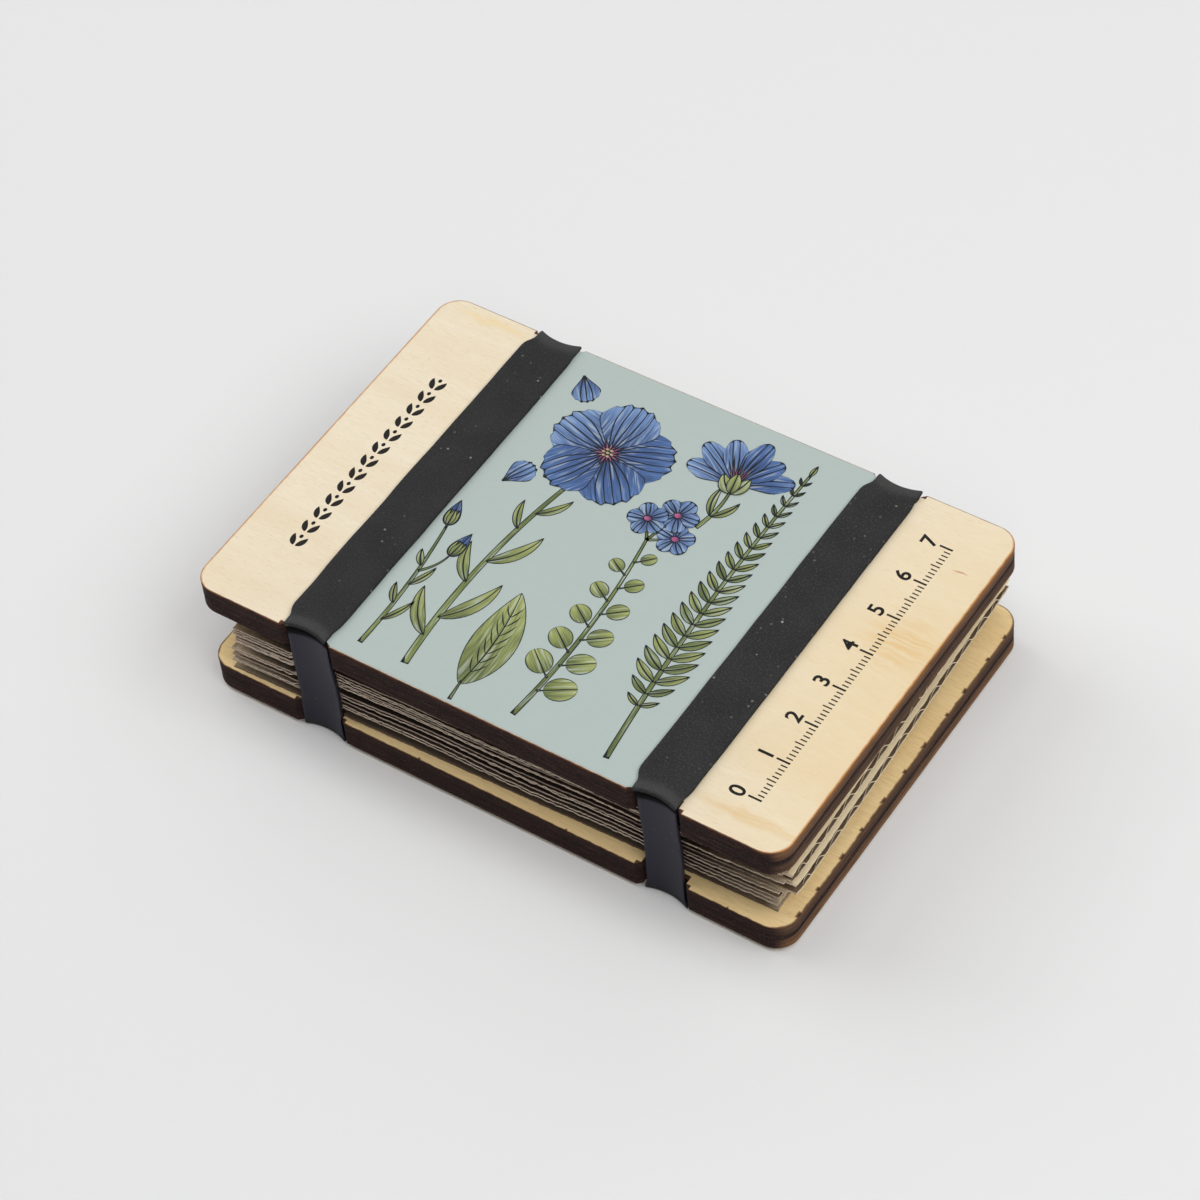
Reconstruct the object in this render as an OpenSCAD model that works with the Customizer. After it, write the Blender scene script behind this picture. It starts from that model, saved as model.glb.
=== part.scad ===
// Pocket flower press: two birch plywood boards, a stack of corrugated cards
// with blotting sheets between them, and two flat rubber bands round the lot.
// X runs along the press, Y across it from the near side, Z up from the surface
// that it lies on. The origin is the middle of the footprint.

/* [Boards] */
// Length of each board
board_l = 135; // [120:1:180]
// Width of each board
board_w = 90; // [80:1:120]
// Radius of the board corners
corner_r = 5; // [2:0.5:10]
// Thickness of the face ply on either side of a board
face_ply_t = 1.2; // [0.8:0.1:2]
// Thickness of the two plies that cross the grain
cross_ply_t = 1.5; // [0.8:0.1:2]
// Thickness of the core ply
core_ply_t = 1.1; // [0.8:0.1:2]

/* [Band notches] */
// From the end of a board to the middle of a notch
notch_inset = 27.5; // [22:0.5:32]
// Width of the hollow that a band sits in
notch_w = 9.9; // [9.7:0.1:12]
// Depth of the hollow in its middle
notch_depth = 2.8; // [2.2:0.1:3.4]
// Radius of the hollow's floor
notch_r = 12.9; // [11:0.1:18]
// Length along the edge of the slanted lip on each side
lip_l = 1.05; // [0.5:0.05:1.5]
// Depth of the slanted lip
lip_depth = 0.95; // [0.5:0.05:1.5]

/* [Rubber bands] */
// Thickness of the rubber
band_t = 1; // [0.6:0.1:1.4]
// Width of a band where it lies flat on a board
band_w = 11.5; // [10.5:0.5:16]
// Width of a band where it is drawn into the notches
band_waist_w = 9.4; // [8:0.1:9.6]
// Length over which a band narrows towards a notch
band_taper_l = 6; // [3:0.5:12]
// Running gap between a band and the notch or the leaves
band_gap = 0.3; // [0.2:0.05:0.5]
// Outer rounding where a band folds over an edge
fold_r = 0.8; // [0.3:0.1:1]

/* [Printed panel] */
// Thickness of the ink
print_t = 0.1; // [0.05:0.05:0.2]
// How far the ink reaches in under each band
print_tuck = 0.65; // [0:0.05:2]

/* [Corrugated cards] */
// Number of cards in the stack
card_count = 5; // [2:1:8]
// From the end of a board to the end of a card laid square
card_end_gap = 4.5; // [3.5:0.5:12]
// From the long edge of a board to the side of a card laid square
card_side_gap = 2.5; // [2:0.5:8]
// Thickness of the flat paper on either side of a card
liner_t = 0.35; // [0.2:0.05:0.6]
// Height of the wavy paper between them
flute_h = 2.2; // [1.6:0.1:3.6]
// Distance from one wave to the next
flute_pitch = 6.5; // [5:0.1:8]
// Thickness of the wavy paper
medium_t = 0.3; // [0.2:0.05:0.5]
// Furthest that a card lies off centre lengthwise
card_slip = 2.6; // [0:0.1:3]
// Furthest that a card lies turned, in degrees
card_turn = 1.9; // [0:0.1:2]

/* [Blotting sheets] */
// Sheets laid between one card and the next
sheets_between = 2; // [1:1:3]
// From the end of a board to the end of a sheet laid square
sheet_end_gap = 5.5; // [3.5:0.5:12]
// From the long edge of a board to the side of a sheet laid square
sheet_side_gap = 2.3; // [2:0.1:8]
// Thickness of a sheet
sheet_t = 0.3; // [0.2:0.05:0.5]
// Furthest that a sheet lies off centre lengthwise
sheet_slip = 2.2; // [0:0.1:3]
// How far the sheets stand nearer to the front than the cards
sheet_front = 0.3; // [0:0.1:0.5]
// Furthest that a sheet lies turned, in degrees
sheet_turn = 1.7; // [0:0.1:2]

/* [Hidden] */
$fn = 96;
overrun = 1;

// How each card lies, from the lowest up, as shares of card_slip and card_turn
card_slip_shares = [-0.25, -0.1, 1, 0.95, 0.85];
card_turn_shares = [0.8, 0.75, 1, 0.95, 0.85];
// How each sheet lies, from the lowest up, as shares of sheet_slip and sheet_turn
sheet_slip_shares = [0.2, -0.3, 0.5, 0.9, 0.75, 1, 0.6, 0.85];
sheet_turn_shares = [0.75, 0.9, 0.65, 1, 0.85, 0.7, 0.95, 0.8];

// Plies from the outer face of a board to its inner face
ply_ts = [face_ply_t, cross_ply_t, core_ply_t, cross_ply_t, face_ply_t];
board_t = 2 * face_ply_t + 2 * cross_ply_t + core_ply_t;

// Sizes of the leaves, which follow the boards
card_l = board_l - 2 * card_end_gap;
card_w = board_w - 2 * card_side_gap;
sheet_l = board_l - 2 * sheet_end_gap;
sheet_w = board_w - 2 * sheet_side_gap;

// Height of the stack between the boards
card_t = 2 * liner_t + flute_h;
card_pitch = card_t + sheets_between * sheet_t;
sheet_count = (card_count - 1) * sheets_between;
stack_h = card_count * card_t + sheet_count * sheet_t;

// Levels from the surface up; the press lies on its bands
bottom_board_z = band_t;
stack_z = bottom_board_z + board_t;
top_board_z = stack_z + stack_h;
print_z = top_board_z + board_t;
press_h = print_z + print_t + band_t;

// The notch floor and both faces of a band are arcs round one centre outside the board
notch_x = board_l / 2 - notch_inset;
print_l = 2 * notch_x - band_w + 2 * print_tuck;
seat_y = board_w / 2 + notch_r - notch_depth;
band_in_r = notch_r - band_gap;
band_out_r = band_in_r - band_t;

// The wavy paper, in whole waves across the card, flat where it is glued
wave_count = round(card_w / flute_pitch);
wave_steps = 12;
step_angle = 360 / wave_steps;
crest_gain = 1 / sin(2 * step_angle);
wave_amp = (flute_h - medium_t) / 2;
function wave_y(k) = card_w * (k / (wave_count * wave_steps) - 1 / 2);
function wave_z(k) = wave_amp * min(1, max(-1, crest_gain * sin(k * step_angle)));

WOOD = "burlywood";
WOOD_DARK = "saddlebrown";
KRAFT = "tan";
BLOTTER = "rosybrown";

card_names = [for (i = [1:card_count]) each
    [str("card_", i, "_lower_liner"), str("card_", i, "_flutes"), str("card_", i, "_upper_liner")]];
sheet_names = [for (j = [1:sheet_count]) str("blotting_sheet_", j)];

// Outline of a board

module rounded_plate() {
    square([board_l - 2 * corner_r, board_w], center = true);
    square([board_l, board_w - 2 * corner_r], center = true);
    for (sx = [-1, 1], sy = [-1, 1])
        translate([sx * (board_l / 2 - corner_r), sy * (board_w / 2 - corner_r)])
            circle(r = corner_r);
}

// A hollow with an arched floor and two slanted lips, cut in the far edge
module notch() {
    intersection() {
        translate([0, seat_y]) circle(r = notch_r);
        translate([-notch_w / 2, board_w / 2 - notch_depth])
            square([notch_w, notch_depth + overrun]);
    }
    translate([0, board_w / 2])
        polygon([[-notch_w / 2 - lip_l, overrun], [-notch_w / 2 - lip_l, 0], [-notch_w / 2, -lip_depth],
                 [notch_w / 2, -lip_depth], [notch_w / 2 + lip_l, 0], [notch_w / 2 + lip_l, overrun]]);
}

module board_outline() {
    difference() {
        rounded_plate();
        for (sx = [-1, 1], turn = [0, 180])
            rotate(turn) translate([sx * notch_x, 0]) notch();
    }
}

// The boards: ply 0 is a board's outer face, ply 4 the face against the stack

function plies_below(k) = k == 0 ? 0 : ply_ts[k - 1] + plies_below(k - 1);

module bottom_board_ply(k) {
    color(k == 0 || k == 4 ? WOOD : WOOD_DARK)
        translate([0, 0, bottom_board_z + plies_below(k)])
            linear_extrude(ply_ts[k]) board_outline();
}

module top_board_ply(k) {
    color(k == 0 || k == 4 ? WOOD : WOOD_DARK)
        translate([0, 0, print_z - plies_below(k) - ply_ts[k]])
            linear_extrude(ply_ts[k]) board_outline();
}

// Ink over the middle of the top board, out to both long edges
module printed_panel() {
    color("darkseagreen")
        translate([0, 0, print_z])
            linear_extrude(print_t)
                intersection() {
                    board_outline();
                    square([print_l, board_w], center = true);
                }
}

// A rubber band is a closed loop across the press

// The flat run over a board, drawn in towards the arched folds at its ends
module band_run() {
    waist = band_waist_w / 2;
    wide = band_w / 2;
    end_y = board_w / 2;
    wide_y = end_y - band_taper_l;
    linear_extrude(band_t)
        difference() {
            polygon([[-waist, -end_y], [-wide, -wide_y], [-wide, wide_y], [-waist, end_y],
                     [waist, end_y], [wide, wide_y], [wide, -wide_y], [waist, -end_y]]);
            for (sy = [-1, 1]) translate([0, sy * seat_y]) circle(r = band_out_r);
        }
}

// The upright run in the far notches, curved like the notch floor
module band_side() {
    linear_extrude(press_h)
        intersection() {
            translate([0, seat_y])
                difference() {
                    circle(r = band_in_r);
                    circle(r = band_out_r);
                }
            translate([-band_waist_w / 2, board_w / 2 - notch_depth])
                square([band_waist_w, notch_depth]);
        }
}

// What is taken off to round the fold at the top of the far run
module fold_round() {
    translate([0, seat_y, press_h])
        rotate_extrude()
            difference() {
                translate([band_out_r - fold_r, -fold_r]) square([2 * fold_r, 2 * fold_r]);
                translate([band_out_r + fold_r, -fold_r]) circle(r = fold_r);
            }
}

module band(x) {
    color("dimgray")
        translate([x, 0, 0])
            difference() {
                union() {
                    band_run();
                    translate([0, 0, press_h - band_t]) band_run();
                    for (turn = [0, 180]) rotate(turn) band_side();
                }
                for (turn = [0, 180]) rotate(turn) {
                    fold_round();
                    translate([0, 0, press_h]) mirror([0, 0, 1]) fold_round();
                }
            }
}

// The room that the bands take: they press these dents into whatever leaf edge
// stands out past the notch floors
module band_ways(z, t) {
    for (sx = [-1, 1], sy = [-1, 1])
        translate([sx * notch_x - band_waist_w / 2 - band_gap,
                   sy > 0 ? board_w / 2 - notch_depth : -board_w / 2 - overrun,
                   z - overrun])
            cube([band_waist_w + 2 * band_gap, notch_depth + overrun, t + 2 * overrun]);
}

// Corrugated card i: two liners and the wavy paper between, waves along the press

function card_z(i) = stack_z + (i - 1) * card_pitch;
function share(shares, i) = shares[(i - 1) % len(shares)];

module lay_card(i, z, t) {
    difference() {
        translate([card_slip * share(card_slip_shares, i), 0, z])
            rotate(card_turn * share(card_turn_shares, i)) children();
        band_ways(z, t);
    }
}

module card_liner(i, z) {
    color(KRAFT)
        lay_card(i, z, liner_t)
            translate([-card_l / 2, -card_w / 2, 0]) cube([card_l, card_w, liner_t]);
}

module card_flutes(i) {
    steps = [0:wave_count * wave_steps];
    back = [wave_count * wave_steps:-1:0];
    color(KRAFT)
        lay_card(i, card_z(i) + liner_t, flute_h)
            translate([-card_l / 2, 0, flute_h / 2])
                rotate([90, 0, 90])
                    linear_extrude(card_l)
                        polygon(concat([for (k = steps) [wave_y(k), wave_z(k) - medium_t / 2]],
                                       [for (k = back) [wave_y(k), wave_z(k) + medium_t / 2]]));
}

// Blotting sheet j, counted from the lowest

function sheet_z(j) = stack_z + ceil(j / sheets_between) * card_t + (j - 1) * sheet_t;

module blotting_sheet(j) {
    color(BLOTTER)
        difference() {
            translate([sheet_slip * share(sheet_slip_shares, j), -sheet_front, sheet_z(j)])
                rotate(sheet_turn * share(sheet_turn_shares, j))
                    translate([-sheet_l / 2, -sheet_w / 2, 0]) cube([sheet_l, sheet_w, sheet_t]);
            band_ways(sheet_z(j), sheet_t);
        }
}

bottom_board_ply(0);  // bottom_board_outer_ply
bottom_board_ply(1);  // bottom_board_outer_crossply
bottom_board_ply(2);  // bottom_board_core_ply
bottom_board_ply(3);  // bottom_board_inner_crossply
bottom_board_ply(4);  // bottom_board_inner_ply
top_board_ply(4);  // top_board_inner_ply
top_board_ply(3);  // top_board_inner_crossply
top_board_ply(2);  // top_board_core_ply
top_board_ply(1);  // top_board_outer_crossply
top_board_ply(0);  // top_board_outer_ply
printed_panel();
band(-notch_x);  // left_band
band(notch_x);  // right_band
for (i = [1:card_count]) {
    card_liner(i, card_z(i));
    card_flutes(i);
    card_liner(i, card_z(i) + liner_t + flute_h);
}
for (j = [1:sheet_count]) {
    blotting_sheet(j);
}
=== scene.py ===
from math import cos, pi, radians, sin, sqrt

import bmesh
import bpy
from mathutils import Matrix, Vector, noise
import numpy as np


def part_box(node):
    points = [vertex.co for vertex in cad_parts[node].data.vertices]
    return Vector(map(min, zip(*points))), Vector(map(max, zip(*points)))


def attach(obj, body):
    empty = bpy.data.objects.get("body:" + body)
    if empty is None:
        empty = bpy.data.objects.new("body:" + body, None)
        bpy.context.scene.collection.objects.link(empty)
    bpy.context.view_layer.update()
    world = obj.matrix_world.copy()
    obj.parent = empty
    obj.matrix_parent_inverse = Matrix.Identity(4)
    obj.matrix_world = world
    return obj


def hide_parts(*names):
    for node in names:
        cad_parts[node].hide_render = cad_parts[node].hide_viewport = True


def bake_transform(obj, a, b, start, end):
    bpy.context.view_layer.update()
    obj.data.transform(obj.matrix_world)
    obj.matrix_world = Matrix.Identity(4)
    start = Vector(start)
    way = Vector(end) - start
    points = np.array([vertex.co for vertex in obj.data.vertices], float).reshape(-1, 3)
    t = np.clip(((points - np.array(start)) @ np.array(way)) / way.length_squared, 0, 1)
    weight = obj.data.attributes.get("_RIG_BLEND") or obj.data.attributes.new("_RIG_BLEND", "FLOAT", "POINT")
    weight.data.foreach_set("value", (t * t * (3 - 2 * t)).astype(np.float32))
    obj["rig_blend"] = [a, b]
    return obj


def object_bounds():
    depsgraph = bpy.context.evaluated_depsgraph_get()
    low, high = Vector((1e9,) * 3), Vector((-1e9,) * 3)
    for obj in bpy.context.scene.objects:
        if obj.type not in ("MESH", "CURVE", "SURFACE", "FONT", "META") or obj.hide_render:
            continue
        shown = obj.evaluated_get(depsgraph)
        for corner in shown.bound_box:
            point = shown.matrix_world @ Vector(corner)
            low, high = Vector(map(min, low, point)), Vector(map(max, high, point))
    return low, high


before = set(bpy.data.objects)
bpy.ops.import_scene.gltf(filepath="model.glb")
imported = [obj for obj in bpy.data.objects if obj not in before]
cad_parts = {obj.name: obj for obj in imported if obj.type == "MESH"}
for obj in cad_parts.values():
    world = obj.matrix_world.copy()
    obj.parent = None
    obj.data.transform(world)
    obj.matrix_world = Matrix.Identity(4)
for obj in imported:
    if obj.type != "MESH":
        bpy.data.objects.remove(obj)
cad_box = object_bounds()
mm = 0.001


# Camera: the photograph's own viewpoint, a long lens three quarters of a metre off
# that looks down on the near right corner of the press.
def placed(name, data):
    """A new object in the scene."""
    made = bpy.data.objects.new(name, data)
    bpy.context.scene.collection.objects.link(made)
    return made


camera_at = Vector((309.74, -396.65, 606.88)) * mm
camera_look = Vector((-0.4021, 0.51107, -0.75968))
camera_roll = radians(6.49)
lens, sensor = 118.32, 36
camera = placed("camera", bpy.data.cameras.new("camera"))
camera.data.lens = lens
camera.data.sensor_width = sensor
camera.matrix_world = (Matrix.Translation(camera_at)
                       @ camera_look.to_track_quat("-Z", "Y").to_matrix().to_4x4()
                       @ Matrix.Rotation(-camera_roll, 4, "Z"))
bpy.context.scene.camera = camera
bpy.context.scene.view_settings.view_transform = "Standard"


# Floor and light: a sheet of pale grey paper between large soft boxes. Most of the light
# comes from above and from the right, so the near side of the stack stays dark.
def colour(r, g, b):
    """A colour given as it shows on a screen, 0 to 255, in the linear values that a shader takes."""
    return (*[c / 255 / 12.92 if c <= 10 else ((c / 255 + 0.055) / 1.055) ** 2.4 for c in (r, g, b)], 1)


def shader(name):
    """A new material, ready to take nodes."""
    made = bpy.data.materials.new(name)
    made.use_nodes = True
    return made


def plug(made, node, inputs):
    """Sets the inputs of a node, or links those that are given another node's output."""
    for key, value in inputs.items():
        if isinstance(value, bpy.types.NodeSocket):
            made.node_tree.links.new(value, node.inputs[key])
        else:
            node.inputs[key].default_value = value


def add(made, kind, inputs=None, **settings):
    """Puts one node into a material and returns it."""
    node = made.node_tree.nodes.new("ShaderNode" + kind)
    for key, value in settings.items():
        setattr(node, key, value)
    plug(made, node, inputs or {})
    return node


def dress(made, rough, shine, tone=None, height=None, strength=0.0, depth=0.0):
    """Gives a material its roughness and shine, and where they are given its colour and its relief."""
    looks = {"Roughness": rough, "Specular IOR Level": shine}
    if tone is not None:
        looks["Base Color"] = tone
    if height is not None:
        relief = add(made, "Bump", {"Height": height, "Strength": strength, "Distance": depth})
        looks["Normal"] = relief.outputs[0]
    plug(made, made.node_tree.nodes["Principled BSDF"], looks)
    return made


floor_size = 4.0
floor_grey = colour(232, 232, 232)
box_distance, box_size = 1.6, 1.0
soft_boxes = ((0, 90, 0.235), (0, 50, 0.27), (45, 50, 0.11), (315, 50, 0.18), (180, 50, 0.19),
              (180, 22, 0.067), (135, 22, 0.046), (90, 22, 0.044))    # degrees round, degrees up, share

bm = bmesh.new()
bmesh.ops.create_grid(bm, x_segments=1, y_segments=1, size=floor_size / 2)
mesh = bpy.data.meshes.new("floor")
bm.to_mesh(mesh)
bm.free()
mesh.materials.append(dress(shader("floor_paper"), 0.9, 0.0, floor_grey))
placed("floor", mesh)

world = bpy.data.worlds.new("room")
bpy.context.scene.world = world
world.use_nodes = True
world.node_tree.nodes["Background"].inputs["Strength"].default_value = 0.0
for turn, height, share in soft_boxes:
    around, up = radians(turn), radians(height)
    aim = Vector((cos(around) * cos(up), sin(around) * cos(up), sin(up)))
    lamp = bpy.data.lights.new("soft_box", "AREA")
    lamp.shape = "SQUARE"
    lamp.size = box_size
    lamp.energy = share * pi ** 2 * box_distance ** 2 / aim.z
    soft_box = placed("soft_box", lamp)
    soft_box.location = aim * box_distance
    soft_box.rotation_euler = (-aim).to_track_quat("-Z", "Y").to_euler()


# Boards: each is laser-cut from five-ply birch. The glued plies run crosswise in turn,
# and the cut edges come out charred: brown at the ends, nearly black along the sides.
board_l, board_w = (max(p[i] for p in cad_box) - min(p[i] for p in cad_box) for i in (0, 1))
edge_round = 0.18 * mm      # the softened corner along a face
corner_r = 5 * mm
notch_x, notch_w, notch_deep = 40 * mm, 9.9 * mm, 2.8 * mm
lip_w, lip_deep = 1.05 * mm, 0.95 * mm
scorch_w = 0.34 * mm        # how far the browning creeps over a face at the ends; less along the sides
nib_pitch, nib_depth, nib_w = 7.9 * mm, 0.8 * mm, 1.4 * mm    # burns along the lower board's right end
nib_start, near_nibs = 8.5 * mm, (-16 * mm, 18.4 * mm, 54.7 * mm)
nib_sway, nib_wander = 370.0, 0.8 * mm      # how those burns stray from an even row
edge_burn, burn_fall = 0.85, 0.42           # how brown a face is at its edge, and how fast that fades
end_reach, end_gain = 6 * mm, 1.7           # the browning reaches further in at the ends than along the sides
char_recess = {"outer_ply": 0, "outer_crossply": 0.05 * mm, "core_ply": 0.02 * mm,
               "inner_crossply": 0.06 * mm, "inner_ply": 0.01 * mm}    # how far each layer is burnt back


def place_of(made):
    """Where each point of a surface lies."""
    return add(made, "TexCoord").outputs["Object"]


def told(made, name, output="Fac"):
    """What one of the mesh's own attributes says."""
    return add(made, "Attribute", attribute_name=name).outputs[output]


def laid(made, place, shift=(0, 0, 0), scale=(1, 1, 1)):
    """Moves and stretches the places that a pattern is drawn from."""
    return add(made, "Mapping", {"Vector": place, "Location": shift, "Scale": scale}).outputs[0]


def cloudy(made, place, scale, detail, **more):
    """A soft random pattern, from 0 to 1."""
    return add(made, "TexNoise", {"Vector": place, "Scale": scale, "Detail": detail, **more}).outputs["Fac"]


def ramp(made, value, low, high, to_low=0.0, to_high=1.0, **settings):
    """Carries a value from one range to another, and holds it at both ends."""
    return add(made, "MapRange", {"Value": value, "From Min": low, "From Max": high,
                                  "To Min": to_low, "To Max": to_high}, **settings).outputs[0]


def sums(made, operation, *values):
    """One step of arithmetic."""
    return add(made, "Math", dict(enumerate(values)), operation=operation).outputs[0]


def mix(made, share, first, second):
    """Two colours mixed, by the share of the second."""
    return add(made, "Mix", {0: share, 6: first, 7: second}, data_type="RGBA").outputs[2]


def birch(name, pale, warm, fibre, seed):
    """Bare sanded birch with its grain along X. Returns the material and its colour."""
    made = shader(name)
    place = place_of(made)

    def grain(scale, detail, low, high):
        lie = laid(made, place, (seed, seed * 3, seed * 7), scale)
        return ramp(made, cloudy(made, lie, 1.0, detail), low, high)

    tone = mix(made, grain((14, 120, 120), 3, 0.3, 0.7), pale, warm)
    year = grain((45, 700, 700), 4, 0.35, 0.75)
    hair = grain((260, 4800, 4800), 2, 0.42, 0.8)
    pore = grain((520, 6800, 6800), 1, 0.66, 0.74)
    for pattern, share, shade in ((year, 0.45, warm), (hair, 0.5, fibre), (pore, 0.35, colour(176, 140, 96))):
        tone = mix(made, sums(made, "MULTIPLY", pattern, share), tone, shade)
    dress(made, 0.62, 0.3, None, hair, 0.25, 0.03 * mm)
    return made, tone


def scorched(made, wood, tan_tone, ragged, nibs):
    """Browns a face towards its cut edge, more or less raggedly, and gives it its colour."""
    def do(operation, *values):
        return sums(made, operation, *values)

    def outside(value, limit):
        return do("MAXIMUM", do("SUBTRACT", value, limit), 0.0)

    def length(one, other):
        return do("SQRT", do("MULTIPLY_ADD", one, one, do("MULTIPLY", other, other)))

    place = place_of(made)
    axes = add(made, "SeparateXYZ", {0: place})
    x, y = (do("ABSOLUTE", axes.outputs[k]) for k in (0, 1))
    # how far in from the rounded outline, and from the notches
    beyond = length(outside(x, board_l / 2 - corner_r), outside(y, board_w / 2 - corner_r))
    near = do("MINIMUM", do("SUBTRACT", board_l / 2, x), do("SUBTRACT", board_w / 2, y))
    inset = do("MINIMUM", do("SUBTRACT", corner_r, beyond), near)
    off = do("ABSOLUTE", do("SUBTRACT", x, notch_x))
    for half, deep in ((notch_w / 2, notch_deep), (notch_w / 2 + lip_w, lip_deep)):
        away = length(outside(off, half), outside(board_w / 2 - deep, y))
        inset = do("MINIMUM", inset, do("MULTIPLY", away, 1.6))
    gain = ramp(made, x, board_l / 2 - end_reach, board_l / 2 - mm, end_gain, 1.0)
    burn = do("SUBTRACT", edge_burn, do("MULTIPLY", do("MULTIPLY", inset, gain), burn_fall / scorch_w))
    if nibs:
        along_x, along_y = axes.outputs[0], axes.outputs[1]
        sway = do("SINE", do("MULTIPLY", along_y, nib_sway))
        turn = do("ADD", do("MULTIPLY_ADD", sway, nib_wander, along_y), nib_start)
        beside = do("MULTIPLY", do("PINGPONG", turn, nib_pitch / 2), 2 / nib_w)
        from_end = do("MULTIPLY", do("SUBTRACT", board_l / 2, along_x), 1 / nib_depth)
        burn = do("MAXIMUM", burn, do("SUBTRACT", 1.35, do("MAXIMUM", beside, from_end)))
        from_side = do("MULTIPLY", do("ADD", board_w / 2, along_y), 1 / nib_depth)
        for nib_x in near_nibs:
            beside = do("ABSOLUTE", do("SUBTRACT", along_x, nib_x))
            bite = do("MULTIPLY_ADD", beside, 1.6 / nib_w, from_side)
            burn = do("MAXIMUM", burn, do("SUBTRACT", 1.15, bite))
    burn = do("ADD", burn, ramp(made, cloudy(made, place, 620.0, 3.0), 0.3, 0.7, -ragged, ragged))
    brown = mix(made, ramp(made, gain, end_gain, 1.0), colour(112, 66, 40), tan_tone)
    toasted = mix(made, ramp(made, burn, 0.22, 0.6), wood, brown)
    coal = mix(made, ramp(made, burn, 0.68, 0.9), toasted, colour(70, 50, 38))
    plug(made, made.node_tree.nodes["Principled BSDF"], {"Base Color": coal})


def charred(name, end_tone, side_tone, seed):
    """A laser-cut edge: streaks along the ply, browner at the ends of the board than along its sides."""
    made = shader(name)
    place = place_of(made)
    along = sums(made, "ABSOLUTE", add(made, "SeparateXYZ", {0: place}).outputs["X"])
    at_end = ramp(made, along, board_l / 2 - 3.2 * mm, board_l / 2 - 0.6 * mm,
                  interpolation_type="SMOOTHSTEP")
    streak = cloudy(made, laid(made, place, (seed, seed, seed), (140, 140, 4400)), 1.0, 4.0, Roughness=0.7)
    crumb = cloudy(made, place, 2900.0, 2.0)
    tone = mix(made, at_end, side_tone, end_tone)
    for pattern, low, high, share, shade in ((streak, 0.48, 0.66, 0.8, colour(24, 15, 15)),
                                             (streak, 0.45, 0.3, 0.4, colour(136, 98, 72)),
                                             (crumb, 0.54, 0.68, 0.4, colour(92, 64, 54))):
        tone = mix(made, ramp(made, pattern, low, high, 0.0, share), tone, shade)
    toasted = ramp(made, told(made, "burn"), 0.75, 0.95)
    patchy = ramp(made, cloudy(made, place, 380.0, 3.0), 0.4, 0.6, 0.1, 0.9)
    rim = mix(made, at_end, colour(120, 72, 42), colour(170, 108, 54))
    tone = mix(made, sums(made, "MULTIPLY", toasted, patchy), tone, rim)
    return dress(made, 0.8, 0.15, tone, streak, 0.6, 0.05 * mm)


def shaped(bm, name, body, slot, materials, *nodes, sharp=25):
    """Makes a piece of a finished bmesh, which rides on a body and stands for the nodes."""
    mesh = bpy.data.meshes.new(name)
    bm.to_mesh(mesh)
    bm.free()
    for m in materials:
        mesh.materials.append(m)
    mesh.polygons.foreach_set("use_smooth", [True] * len(mesh.polygons))
    mesh.set_sharp_from_angle(angle=radians(sharp))
    piece = placed(name, mesh)
    if body:
        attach(piece, body)
    if nodes:
        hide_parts(*nodes)
    return piece


def solid_of(node):
    """A merged copy of a CAD node, with its flat faces whole again."""
    bm = bmesh.new()
    bm.from_mesh(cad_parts[node].data)
    bmesh.ops.remove_doubles(bm, verts=bm.verts, dist=0.001 * mm)
    bmesh.ops.dissolve_limit(bm, angle_limit=radians(1), verts=bm.verts, edges=bm.edges)
    return bm


def ply(board, kind, side, face_skin, edge_skin, slot):
    """One ply. side is +1 or -1 where its upper or lower face shows, and else 0."""
    node = board + "_" + kind
    bm = solid_of(node)
    for v in bm.verts:
        walls = [f.normal for f in v.link_faces if abs(f.normal.z) < 0.5]
        v.co -= sum(walls, Vector()).normalized() * char_recess[kind]
    burn = bm.verts.layers.float.new("burn")
    if side:
        shown = max(bm.faces, key=lambda f: f.normal.z * side * f.calc_area())
        bmesh.ops.bevel(bm, geom=list(shown.edges), offset=edge_round, offset_type="OFFSET", segments=2,
                        profile=0.5, affect="EDGES", clamp_overlap=True, material=-1)
        level = max(v.co.z * side for v in bm.verts)
        for v in bm.verts:
            v[burn] = float(node == "top_board_outer_ply" and level - v.co.z * side < 2 * edge_round)
    bm.normal_update()
    for f in bm.faces:
        f.material_index = 0 if side and f.normal.z * side > 0.9 else 1
    shaped(bm, "wood_" + node, board, slot, [face_skin, edge_skin], node)


def stained(made, tint, centre, reach, tone, share, broken):
    """Adds one soft mark to a face: its centre and reach in X and Y, and how far the grain breaks it up."""
    def move(operation, *values):
        return add(made, "VectorMath", dict(enumerate(values)), operation=operation)

    place = place_of(made)
    wavy = add(made, "TexNoise", {"Vector": place, "Scale": 160.0, "Detail": 2.0}).outputs["Color"]
    bent = move("SUBTRACT", wavy, (0.5, 0.5, 0.5)).outputs[0]
    moved = move("MULTIPLY_ADD", bent, (0, 0.004, 0), place).outputs[0]
    from_centre = move("SUBTRACT", moved, (*centre, 0)).outputs[0]
    scaled = move("MULTIPLY", from_centre, (1 / reach[0], 1 / reach[1], 0)).outputs[0]
    away = move("LENGTH", scaled).outputs["Value"]
    soft = ramp(made, away, 1.0, 0.1, 0.0, share, interpolation_type="SMOOTHSTEP")
    grain = cloudy(made, laid(made, moved, scale=(120, 1100, 1)), 1.0, 2.0)
    return mix(made, sums(made, "MULTIPLY", soft, ramp(made, grain, 0.36, 0.62, 1 - broken, 1.0)), tint, tone)


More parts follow.
